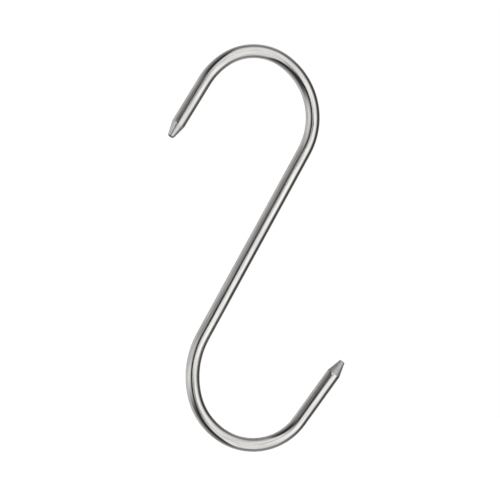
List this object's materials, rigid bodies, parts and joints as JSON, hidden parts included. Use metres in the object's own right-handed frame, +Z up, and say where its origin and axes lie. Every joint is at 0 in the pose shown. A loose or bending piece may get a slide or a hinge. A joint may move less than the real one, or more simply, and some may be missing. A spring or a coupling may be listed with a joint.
{
  "type": "meat hook",
  "caption": "S-shaped meat hook bent flat from round polished steel bar, with blunt ground points. Its upper bend hangs on a rail and its lower bend carries the load.",
  "frame": {"origin": "rail seat: the highest point inside the upper bend, on the bar's inner surface, where the hook rests on its rail", "axes": "+Z up as the hook hangs, +X to the side the lower point is on, +Y across the flat S, through the bar's thickness"},
  "size_m": [0.0627, 0.005, 0.1452],
  "materials": {
    "polished_steel": "bright polished stainless bar with faint drawing lines along it; ground cone points"
  },
  "bodies": {
    "root": {"hook_bar": "polished_steel"}
  },
  "joints": []
}
